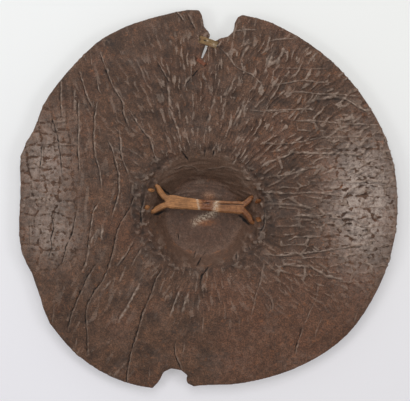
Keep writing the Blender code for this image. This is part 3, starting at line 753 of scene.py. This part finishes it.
def wear_and_shading_group():
    """Colour and roughness of a skin with worn crests that carry a painted highlight, polished
    places, which on the hide carry a painted sheen, and cracks darkened with painted shade and
    dirt.
    """
    tree, given, out = new_group(
        "SkinWearAndShading",
        (("Skin", "NodeSocketColor", None), ("Crest Colour", "NodeSocketColor", None),
         ("Polish Colour", "NodeSocketColor", None), ("Crack Colour", "NodeSocketColor", None),
         ("Crest", "NodeSocketFloat", 0.0), ("Polish", "NodeSocketFloat", 0.0),
         ("Crack", "NodeSocketFloat", 0.0), ("Tone", "NodeSocketFloat", 0.5),
         ("Roughness", "NodeSocketFloat", 0.6)),
        (("Colour", "NodeSocketColor"), ("Roughness", "NodeSocketFloat")))
    broken = ramp(given["Tone"], 0.36, 0.62)
    crest_here = times(given["Crest"], plus(times(broken, 0.7), 0.3))
    polish_here = times(given["Polish"], plus(times(broken, 0.8), 0.2))
    colour = blend(polish_here, given["Skin"], given["Polish Colour"])
    colour = blend(crest_here, colour, given["Crest Colour"])
    colour = blend(given["Crack"], colour, given["Crack Colour"])
    shine = plus(times(polish_here, -0.24), times(crest_here, -0.14))
    rough = plus(given["Roughness"], shine)
    rough = plus(rough, times(given["Crack"], 0.2), clamp=True)
    tree.links.new(colour, out["Colour"])
    tree.links.new(rough, out["Roughness"])
    return tree


def use_group(tree, group, inputs):
    return add_node(tree, "ShaderNodeGroup", inputs, node_tree=group).outputs


def shared_group(name, build):
    return bpy.data.node_groups.get(name) or build()


def new_material(name):
    material = bpy.data.materials.new(name)
    material.use_nodes = True
    tree = material.node_tree
    return material, tree, tree.nodes["Principled BSDF"]


def tinted(colour, shade):
    """A colour times a grey value."""
    channels = {"Red": shade, "Green": shade, "Blue": shade}
    grey = add_node(tree_of(shade), "ShaderNodeCombineColor", channels)
    return blend(1.0, colour, grey.outputs[0], "MULTIPLY")


def near_zero(field, middle, full, none):
    """1 where a field lies within full of its middle, 0 beyond none."""
    away = maths("ABSOLUTE", minus(field, middle))
    return ramp(away, full, none, 1.0, 0.0)


def moved(tree, place, offset):
    """The same places shifted, so that a second noise differs from the first."""
    return add_node(tree, "ShaderNodeMapping", {"Vector": place, "Location": offset}).outputs[0]


def cover(tree, shader, colour, roughness, height, depth, strength):
    """Give a surface its colour, its roughness and its bump, whose depth is in metres."""
    bump = add_node(
        tree, "ShaderNodeBump", {"Height": height, "Distance": depth, "Strength": strength})
    tree.links.new(colour, shader.inputs["Base Color"])
    tree.links.new(roughness, shader.inputs["Roughness"])
    tree.links.new(bump.outputs[0], shader.inputs["Normal"])


def grained(tree, scale):
    """Places on the piece, and the skin's grain there."""
    place = add_node(tree, "ShaderNodeTexCoord").outputs["Object"]
    group = shared_group("SkinGrain", grain_group)
    return place, use_group(tree, group, {"Vector": place, "Scale": scale})


def hide_material(colours):
    material, tree, shader = new_material("hide")
    place, grain = grained(tree, 1.0)
    broad = noise_of(tree, place, 9.0, 5.0, 0.6)
    patch = noise_of(tree, place, 34.0, 6.0, 0.66, 0.3)
    mottle = noise_of(tree, place, 120.0, 4.0, 0.65)
    speck = noise_of(tree, place, 480.0, 3.0, 0.75)
    fleck = ramp(noise_of(tree, place, 330.0, 4.0, 0.7), 0.40, 0.60)
    red = noise_of(tree, moved(tree, place, (3.1, 1.7, 0.4)), 16.0, 6.0, 0.65)
    rust = noise_of(tree, moved(tree, place, (0.7, 2.9, 0.1)), 95.0, 5.0, 0.7)
    grime_and_shade_tone = rgba(c * 0.45 for c in colours.hide_dark)

    # the skin: brown patches, tints, fine light and dark, a stain, and the dirt and painted shade
    # of the darkened places
    redness = plus(times(ramp(red, 0.48, 0.68), 0.5),
                   times(mask_of(tree, "red"), 0.45), clamp=True)
    skin = blend(
        ramp(patch, 0.34, 0.68), rgba(colours.hide_dark), rgba(colours.hide_light))
    for amount, tint in (
            (redness, colours.hide_red),
            (times(ramp(broad, 0.45, 0.65), 0.15), colours.hide_plum),
            # painted light: the well's own purple-brown, lighter, lifting the shade in the hollow
            (times(mask_of(tree, "well"), 0.58), colours.hide_plum),
            # painted light: the upper wall tinted lighter, lifting the shade that falls there
            (times(mask_of(tree, "wall"), 0.95), colours.hide_olive),
            (times(ramp(rust, 0.58, 0.70), 0.36), colours.rust)):
        skin = blend(amount, skin, rgba(tint))
    shade = times(ramp(mottle, 0.28, 0.72, 0.74, 1.26),
                  ramp(speck, 0.32, 0.68, 0.56, 1.46))
    calm = times(mask_of(tree, "well"), 0.35)
    shade = plus(times(shade, minus(1.0, calm)), calm)
    skin = tinted(skin, shade)
    skin = blend(times(mask_of(tree, "stain"), 0.75), skin, rgba(colours.crack))
    # painted shade, with dirt round the mouth
    skin = blend(mask_of(tree, "grime_and_shade"), skin, grime_and_shade_tone)

    # painted shade in cracks, grooves and the hollows beside the ridges; painted highlights on lips
    # and worn crests; polish with a painted sheen
    off = mask_of(tree, "line_off")
    core = times(mask_of(tree, "line_dark"), near_zero(off, CRACK_AT, 0.15, 1.1))
    lip = times(mask_of(tree, "line_light"), near_zero(off, LIP_AT, 0.2, 1.5))
    fray = plus(times(minus(mottle, 0.5), 0.7),
                times(minus(speck, 0.5), 0.7))
    worm = times(mask_of(tree, "ridge_mask"),
                 ramp(plus(mask_of(tree, "ridge_field"), fray), 0.26, 0.44))
    shadow = times(mask_of(tree, "ridge_mask"),
                   ramp(mask_of(tree, "ridge_field"), -0.1, -0.5))
    groove = times(mask_of(tree, "groove_mask"),
                   near_zero(mask_of(tree, "groove_field"), 0.0, 0.2, 1.4))
    ragged = plus(
        mask_of(tree, "polish_field"), times(minus(mottle, 0.5), 0.9))
    polish_and_sheen = times(mask_of(tree, "polish_sheen_mask"), ramp(ragged, 0.0, 0.16))
    clean = minus(1.0, times(mask_of(tree, "grime_and_shade"), 0.6))
    light = times(maths("MAXIMUM", lip, times(worm, 0.85)), clean)
    dark = plus(maths("MAXIMUM", core, times(groove, 0.62)),
                times(shadow, 0.42), clamp=True)

    worn_and_shaded = use_group(tree, shared_group("SkinWearAndShading", wear_and_shading_group), {
        "Skin": skin, "Crest Colour": rgba(colours.ridge), "Polish Colour": rgba(colours.polish_and_sheen),
        "Crack Colour": rgba(colours.crack), "Crest": light, "Polish": polish_and_sheen, "Crack": dark,
        "Tone": grain["Tone"], "Roughness": 0.62})
    flecked = plus(times(fleck, 0.6), 0.35)
    colour = blend(
        times(mask_of(tree, "tan"), flecked), worn_and_shaded["Colour"], rgba(colours.rust))
    colour = blend(times(mask_of(tree, "crust"), fleck), colour, rgba(colours.crust))
    height = plus(times(grain["Height"], 0.9), times(light, 0.35))
    height = plus(minus(height, times(dark, 0.6)), times(polish_and_sheen, 0.2))
    cover(tree, shader, colour, worn_and_shaded["Roughness"], height, MM, 0.8)
    shader.inputs["Specular IOR Level"].default_value = 0.4
    return material


def rawhide_material(name, colour, dark, colours):
    """Streaked rawhide; the streaks follow the piece's own lengthwise and crosswise masks."""
    material, tree, shader = new_material(name)
    place, grain = grained(tree, 1.6)
    flow = add_node(tree, "ShaderNodeCombineXYZ", {
        "X": times(mask_of(tree, "along"), 28.0),
        "Y": times(mask_of(tree, "across"), 620.0), "Z": 0.0}).outputs[0]
    fibre = noise_of(tree, flow, 1.0, 5.0, 0.6)
    broad = noise_of(tree, place, 70.0, 4.0, 0.6)
    fleck = ramp(noise_of(tree, place, 420.0, 4.0, 0.7), 0.38, 0.58)
    tone = blend(ramp(fibre, 0.32, 0.62), rgba(dark), rgba(colour))
    shade = times(ramp(broad, 0.3, 0.7, 0.66, 1.22),
                  ramp(grain["Tone"], 0.3, 0.7, 0.82, 1.16))
    worn_and_shaded = use_group(tree, shared_group("SkinWearAndShading", wear_and_shading_group), {
        "Skin": tinted(tone, shade), "Crest Colour": rgba(colour), "Crest": 0.0,
        "Polish Colour": rgba(colours.handled), "Polish": mask_of(tree, "soil"),
        "Crack Colour": rgba(colours.crack), "Crack": mask_of(tree, "crack"),
        "Tone": grain["Tone"], "Roughness": 0.58})
    final = blend(
        times(mask_of(tree, "crust"), fleck), worn_and_shaded["Colour"], rgba(colours.crust))
    height = plus(fibre, times(grain["Height"], 0.35))
    cover(tree, shader, final, worn_and_shaded["Roughness"], height, 0.6 * MM, 0.6)
    shader.inputs["Specular IOR Level"].default_value = 0.28
    return material


# Operators


class ShieldHide(bpy.types.Operator):
    """Work the hide: wrinkles, cracks, plateaus and wear on both sides"""

    bl_idname = "shield.hide"
    bl_label = "Hide"

    def execute(self, context):
        sizes, colours = context.scene.shield_sizes, context.scene.shield_colours
        obj = piece_from_node("hide", "shield_hide")
        self.open_tear(obj.data)
        voxel = sizes.voxel * 1.0
        apply_modifier(obj, "REMESH", mode="VOXEL", voxel_size=voxel, adaptivity=0.0)
        self.even_out(obj)
        mesh = obj.data
        co, no, x, y = surface(mesh)
        inner, outer = fade(no[:, 2], 0.05, 0.45), fade(no[:, 2], -0.05, -0.45)
        height = inner_relief(x, y, sizes)[0] * inner + outer_relief(x, y, sizes)[0] * outer
        flat = outer * fade(co[:, 2], 0.004, 0.001)
        co += no * (height * (1 - flat) * MM)[:, None]
        co[:, 2] = np.maximum(co[:, 2], 0.0)
        set_coords(mesh, co)
        self.thin_out(obj, sizes)
        self.paint(obj.data, sizes)
        finish_piece(obj, hide_material(colours), "hide", "hide")
        return {"FINISHED"}

    def open_tear(self, mesh):
        """Draw the sides of the tear apart, so that it stays open in the grid."""
        co, _, x, y = surface(mesh)
        along, across, gap = path_flow(x, y, (TEAR,))
        pull = 0.8 * fade(gap, 4.5, 2.5) * fade(along, 3, 9) * np.sign(across)
        (ax, ay), (bx, by) = TEAR[0], TEAR[-1]
        run = math.hypot(bx - ax, by - ay)
        co[:, 0] -= pull * (by - ay) / run * MM
        co[:, 1] += pull * (bx - ax) / run * MM
        set_coords(mesh, co)

    def even_out(self, obj):
        """Soften the solid's facets, most of all on the open brim."""
        _, _, x, y = surface(obj.data)
        radius = np.hypot(x - 2, y + 3)
        open_brim = fade(radius, 284, 270) * (1 - bump_at(x, y, -2, 228, 26, 34) ** 0.5)
        for sx, sy in ((-84, 15), (-91, -19), (76, -3), (77, -38)):
            open_brim = open_brim * (1 - np.clip(1.6 * bump_at(x, y, sx, sy, 13, 13), 0, 1))
        weigh(obj, "open_brim", open_brim)
        apply_modifier(obj, "SMOOTH", factor=0.5, iterations=4)
        apply_modifier(obj, "SMOOTH", factor=0.5, iterations=10, vertex_group="open_brim")

    def thin_out(self, obj, sizes):
        """Collapse the plainer outer side first, then the whole to its limit."""
        faces = triangle_count(obj.data)
        outer = vectors(obj.data, "normal")[:, 2] < -0.1
        weigh(obj, "outer_side", outer.astype(float))
        spare = faces * outer.mean() - sizes.outer_faces
        if spare > 0:
            apply_modifier(obj, "DECIMATE", ratio=1 - spare / faces, vertex_group="outer_side")
        faces = triangle_count(obj.data)
        if faces > sizes.hide_faces:
            apply_modifier(obj, "DECIMATE", ratio=sizes.hide_faces / faces * COUNT_MARGIN)
        obj.vertex_groups.clear()

    def paint(self, mesh, sizes):
        _, no, x, y = surface(mesh)
        inner, outer = fade(no[:, 2], 0.0, 0.3), fade(no[:, 2], 0.0, -0.3)
        top, under = inner_relief(x, y, sizes)[1], outer_relief(x, y, sizes)[1]
        for name, field in top.items():
            if name.endswith(("_off", "_field")):
                set_mask(mesh, name, np.where(no[:, 2] > 0, field, under[name]))
            else:
                set_mask(mesh, name, field * inner + under[name] * outer)
        stain = bump_at(x, y, -154, 246, 11, 11) * (0.8 + blots(x, y, 6, 111))
        set_mask(mesh, "stain", np.clip(stain * inner, 0, 1))
        lane = y + 31.5 - 0.47 * (x + 3)
        crust = hump(lane, 0, 5.5) * between(x, -20, 14, 8)
        crust += 0.45 * bump_at(x, y, 3, 3, 7, 4)
        set_mask(mesh, "crust", np.clip(crust * inner, 0, 1))
        tan = 1.2 * bump_at(x, y, -5, -40, 15, 4.5) + 1.2 * bump_at(x, y, 3, 2, 8, 5)
        set_mask(mesh, "tan", np.clip(tan * inner, 0, 1))


def rawhide_piece(sizes, node, name, paths, rounds):
    """A fine, softened copy of a solid, its surface, and its flow along its paths."""
    obj = piece_from_node(node, name)
    apply_modifier(obj, "REMESH", mode="VOXEL", voxel_size=sizes.rawhide_voxel, adaptivity=0.0)
    apply_modifier(obj, "SMOOTH", factor=0.5, iterations=rounds)
    co, no, x, y = surface(obj.data)
    along, across, _ = path_flow(x, y, paths)
    return obj, co, no, x, y, along, across


class ShieldHandle(bpy.types.Operator):
    """Work the forked rawhide handle"""

    bl_idname = "shield.handle"
    bl_label = "Handle"

    def execute(self, context):
        sizes, colours = context.scene.shield_sizes, context.scene.shield_colours
        obj, co, no, x, y, along, across = rawhide_piece(
            sizes, "handle", "shield_handle", STRAP_PATHS, 6)
        mesh = obj.data
        top = fade(no[:, 2], 0.2, 0.7)
        groove_line = -10.6 - 0.018 * x + 0.5 * waves(x / 9, y * 0, 124)
        groove = hump(y, groove_line, 0.8) * between(x, 20, 54, 8)
        slit = bump_at(x, y, 0, -9, 5.5, 1.1)
        streaks = waves(along / 22, across / 1.5, 121) + 0.6 * waves(along / 14, across / 0.8, 122)
        lumps = blots(x, y, 9, 123)
        height = 0.2 * streaks - (1.0 * groove + 1.2 * slit) * top + 0.3 * lumps
        push_out(mesh, co, no, height)
        set_flow(mesh, along, across)
        legs = fade(x, -58, -64) + fade(x, 52, 58)
        # painted shade: near-black in the groove between the plies and in the slit, and darker
        # along the outer edges of the legs
        edge_shade = legs * fade(np.abs(across), 3.6, 5.0) * 0.55
        crack = np.clip(groove * 0.85 + slit + edge_shade, 0, 1) * fade(no[:, 2], -0.2, 0.1)
        set_mask(mesh, "crack", crack)
        collar = hump(x + 14 + 0.2 * (y + 11), 0, 1.6) * 0.85
        collar += 0.9 * hump(x - 14 - 0.15 * (y + 13), 0, 4.2)
        set_mask(mesh, "crust", np.clip(collar, 0, 1))
        soil = 1.7 * np.exp(-((x - 1) / 12.0) ** 4) + 0.45 * between(x, 24, 56, 10) * fade(
            y, groove_line, groove_line + 2)
        soil = np.maximum(soil, 0.85 * fade(x, 15, 25) + 0.45 * legs * (0.6 + 0.6 * lumps))
        set_mask(mesh, "soil", np.clip(soil, 0, 1.7))
        if triangle_count(mesh) > HANDLE_FACES:
            apply_modifier(obj, "DECIMATE", ratio=HANDLE_FACES / triangle_count(mesh))
        dark = [c * 0.55 for c in colours.rawhide]
        finish_piece(obj, rawhide_material("handle_rawhide", colours.rawhide, dark, colours),
                     "handle_rawhide", "handle")
        return {"FINISHED"}


def work_stitch(scene, node, slot, colour, run, marks):
    """Finish a stitch; marks are dents darkened with painted shade, and pale or soiled places:
    kind, place, half sizes.
    """
    sizes, colours = scene.shield_sizes, scene.shield_colours
    obj, co, no, x, y, along, across = rawhide_piece(sizes, node, "shield_" + node, (run,), 3)
    mesh = obj.data
    masks = {kind: np.zeros(len(co)) for kind in ("crack", "crust", "soil")}
    for kind, s, t, half_s, half_t, strength in marks:
        masks[kind] += strength * bump_at(along, across, s, t, half_s, half_t)
    height = 0.2 * waves(along / 8, across / 1.3, 131) + 0.22 * blots(x, y, 4, 132)
    height = height - 0.7 * np.clip(masks["crack"], 0, 1) * fade(no[:, 2], 0.2, 0.7)
    push_out(mesh, co, no, height)
    set_flow(mesh, along, across)
    for kind, mask in masks.items():
        set_mask(mesh, kind, np.clip(mask, 0, 1))
    dark = [c * 0.5 for c in colour]
    finish_piece(obj, rawhide_material(slot, colour, dark, colours), slot, node)


class ShieldLace(bpy.types.Operator):
    """Work the ochre lace over the tear"""

    bl_idname = "shield.lace"
    bl_label = "Lace"

    def execute(self, context):
        # the dark marks paint shade in the holes at the lace's left end
        marks = (("crack", 8.5, 0.6, 2.2, 1.3, 1.3), ("crack", 0.5, -1.0, 1.6, 3.0, 0.9),
                 ("soil", 3.0, 1.5, 3.0, 4.0, 0.6), ("crust", 12.5, 2.0, 2.0, 1.4, 0.7),
                 ("crust", 24.0, -1.0, 3.5, 2.5, 0.6), ("soil", 18.0, -4.0, 8.0, 1.6, 0.6))
        colour = context.scene.shield_colours.lace
        work_stitch(context.scene, "tear_lace", "lace_rawhide", colour,
                    ((-11.5, 250.0), (15.0, 240.5)), marks)
        return {"FINISHED"}


class ShieldStitch(bpy.types.Operator):
    """Work the small red-brown stitch lower down the tear"""

    bl_idname = "shield.stitch"
    bl_label = "Stitch"

    def execute(self, context):
        # the dark marks paint shade in the holes at both ends of the stitch
        marks = (("crack", 0.0, 0.0, 1.6, 4.0, 0.9), ("crack", 17.2, 0.0, 1.6, 4.0, 0.9),
                 ("soil", 9.0, -2.4, 6.0, 0.9, 0.6))
        colour = context.scene.shield_colours.stitch
        work_stitch(context.scene, "tear_stitch", "stitch_rawhide", colour,
                    ((-16.5, 218.5), (-2.5, 208.5)), marks)
        return {"FINISHED"}


class ShieldStage(bpy.types.Operator):
    """Lay the pale floor, hang the soft lights and place the camera"""

    bl_idname = "shield.stage"
    bl_label = "Stage"

    def execute(self, context):
        bpy.ops.object.select_all(action="DESELECT")
        bpy.ops.mesh.primitive_plane_add(size=FLOOR_SIZE, location=(0, 0, -FLOOR_DROP))
        floor = context.object
        floor.name = "stage_floor"
        material, tree, shader = new_material("stage_floor")
        place = add_node(tree, "ShaderNodeTexCoord").outputs["Object"]
        way = add_node(tree, "ShaderNodeSeparateXYZ", {"Vector": place}).outputs
        # painted shade: the floor darkens towards the bottom and the right, as light from the upper
        # left would leave it; its lower part is also bluer
        upper = rgba((0.70, 0.71, 0.705))
        lower = rgba((0.65, 0.64, 0.68))
        right = rgba((0.97, 0.965, 0.95))
        tone = blend(ramp(way["Y"], 0.28, -0.3), upper, lower)
        tone = blend(ramp(way["X"], -0.25, 0.3), tone, right, "MULTIPLY")
        tree.links.new(tone, shader.inputs["Base Color"])
        shader.inputs["Roughness"].default_value = 0.9
        shader.inputs["Specular IOR Level"].default_value = 0.1
        # painted light: the floor glows faintly, lifting the shadows on it and the shade seen
        # through the tear and the notches
        shader.inputs["Emission Color"].default_value = (1.0, 1.0, 1.0, 1)
        shader.inputs["Emission Strength"].default_value = 0.2
        floor.data.materials.append(material)

        world = bpy.data.worlds.new("studio")
        world.use_nodes = True
        background = world.node_tree.nodes["Background"]
        background.inputs["Color"].default_value = (1.0, 1.0, 1.0, 1)
        background.inputs["Strength"].default_value = WORLD_LIGHT
        context.scene.world = world
        for name, place, size, watts, casts in LIGHTS:
            self.area_light(name, place, size, watts, casts)

        camera = bpy.data.cameras.new("camera")
        camera.sensor_width = SENSOR
        camera.lens = SENSOR * VIEW_DISTANCE / VIEW_BREADTH
        camera.clip_end = 50.0
        eye = bpy.data.objects.new("camera", camera)
        eye.location = CAMERA_PLACE
        context.scene.collection.objects.link(eye)
        context.scene.camera = eye
        context.scene.view_settings.view_transform = "Standard"
        return {"FINISHED"}

    def area_light(self, name, place, size, watts, casts):
        light = bpy.data.lights.new(name, "AREA")
        light.shape = "SQUARE"
        light.size = size
        light.energy = watts
        light.use_shadow = casts
        obj = bpy.data.objects.new(name, light)
        obj.location = place
        obj.rotation_euler = (-Vector(place)).to_track_quat("-Z", "Y").to_euler()
        bpy.context.scene.collection.objects.link(obj)


class ShieldPanel(bpy.types.Panel):
    """Sizes, colours and the steps that build the shield"""

    bl_idname = "VIEW3D_PT_shield"
    bl_label = "Hide shield"
    bl_space_type = "VIEW_3D"
    bl_region_type = "UI"
    bl_category = "Shield"

    def draw(self, context):
        layout = self.layout
        for group in (context.scene.shield_sizes, context.scene.shield_colours):
            for name in group.__annotations__:
                layout.prop(group, name)
        for step in STEPS:
            layout.operator(step.bl_idname)


STEPS = (ShieldHide, ShieldHandle, ShieldLace, ShieldStitch, ShieldStage)
CLASSES = (ShieldSizes, ShieldColours, *STEPS, ShieldPanel)


def register():
    for cls in CLASSES:
        bpy.utils.register_class(cls)
    bpy.types.Scene.shield_sizes = bpy.props.PointerProperty(type=ShieldSizes)
    bpy.types.Scene.shield_colours = bpy.props.PointerProperty(type=ShieldColours)


def unregister():
    del bpy.types.Scene.shield_colours
    del bpy.types.Scene.shield_sizes
    for cls in reversed(CLASSES):
        bpy.utils.unregister_class(cls)


def main():
    register()
    bpy.ops.shield.hide()
    bpy.ops.shield.handle()
    bpy.ops.shield.lace()
    bpy.ops.shield.stitch()
    bpy.ops.shield.stage()


if __name__ == "__main__":
    main()
